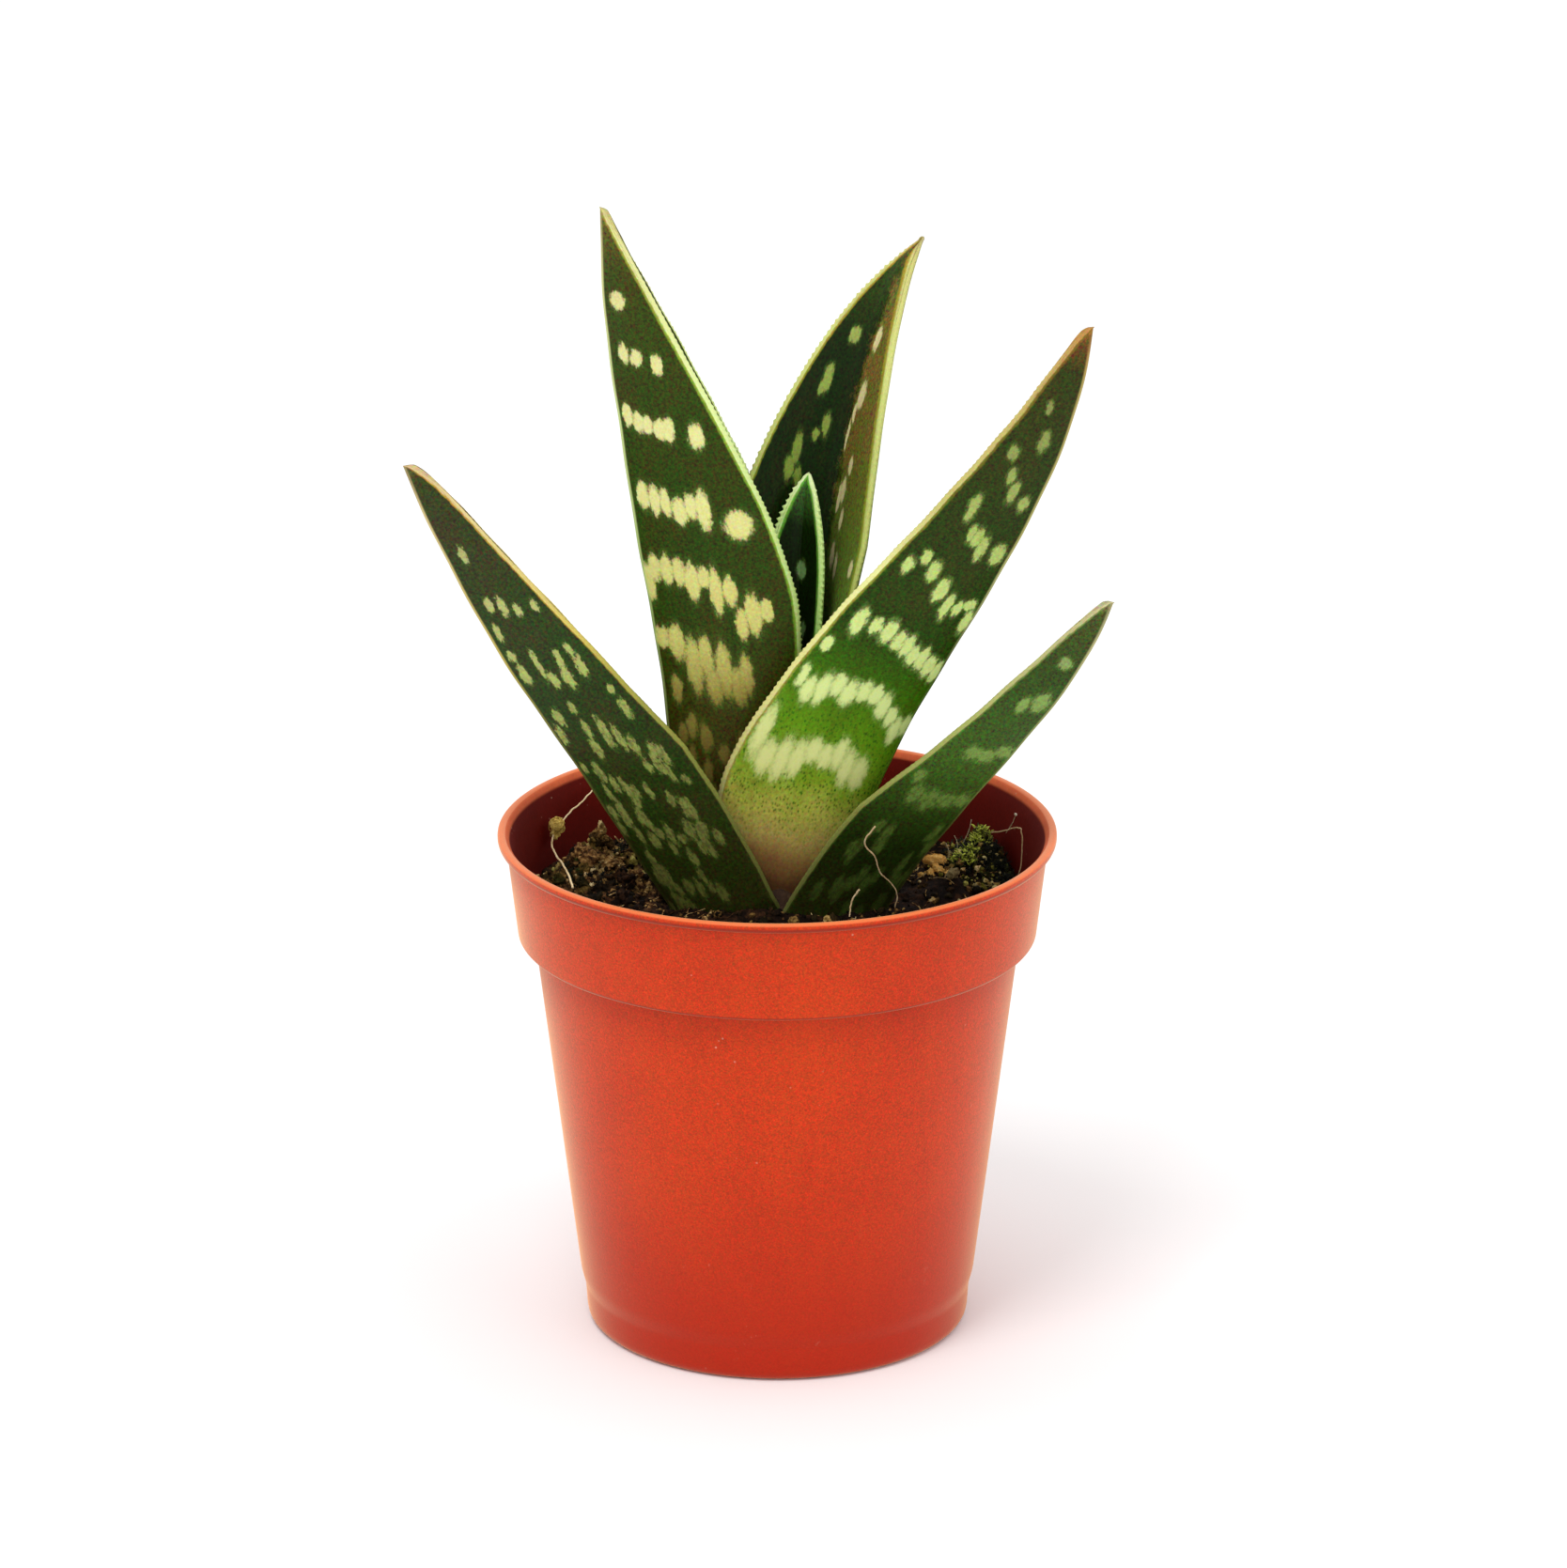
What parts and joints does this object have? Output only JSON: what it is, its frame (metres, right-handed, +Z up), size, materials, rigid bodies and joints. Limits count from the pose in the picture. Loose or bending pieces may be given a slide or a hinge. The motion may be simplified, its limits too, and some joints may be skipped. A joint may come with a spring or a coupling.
{
  "type": "potted aloe plant",
  "caption": "Young tiger aloe with keeled, toothed, banded leaves on a short stem, in peat soil in a round plastic nursery pot with a raised collar.",
  "frame": {"origin": "on the pot's axis, at the flat disc in the middle of its underside, on the surface that it stands on", "axes": "+Z up along the pot's axis, +X to the right and -Y towards the viewer as the picture shows it"},
  "size_m": [0.1115, 0.09, 0.1882],
  "materials": {
    "pot_plastic": "terracotta-coloured moulded plastic, satin gloss",
    "peat": "dark brown crumbly peat, rough and dry on top",
    "stem": "pale brown, papery old leaf bases",
    "leaf": "dark green waxy skin with pale bands of spots and a pale toothed margin",
    "bark": "tan fibrous bark",
    "grain": "pale dull mineral grain",
    "root": "dry straw-coloured root"
  },
  "bodies": {
    "root": {"pot": "pot_plastic", "soil": "peat", "stem": "stem", "leaf_low_left": "leaf", "leaf_low_right": "leaf", "leaf_front_right": "leaf", "leaf_tall_left": "leaf", "leaf_back_right": "leaf", "leaf_young_centre": "leaf", "bark_chip": "bark", "grain_large": "grain", "grain_small": "grain", "root_left": "root", "root_right": "root", "root_front": "root", "root_short": "root"}
  },
  "joints": []
}
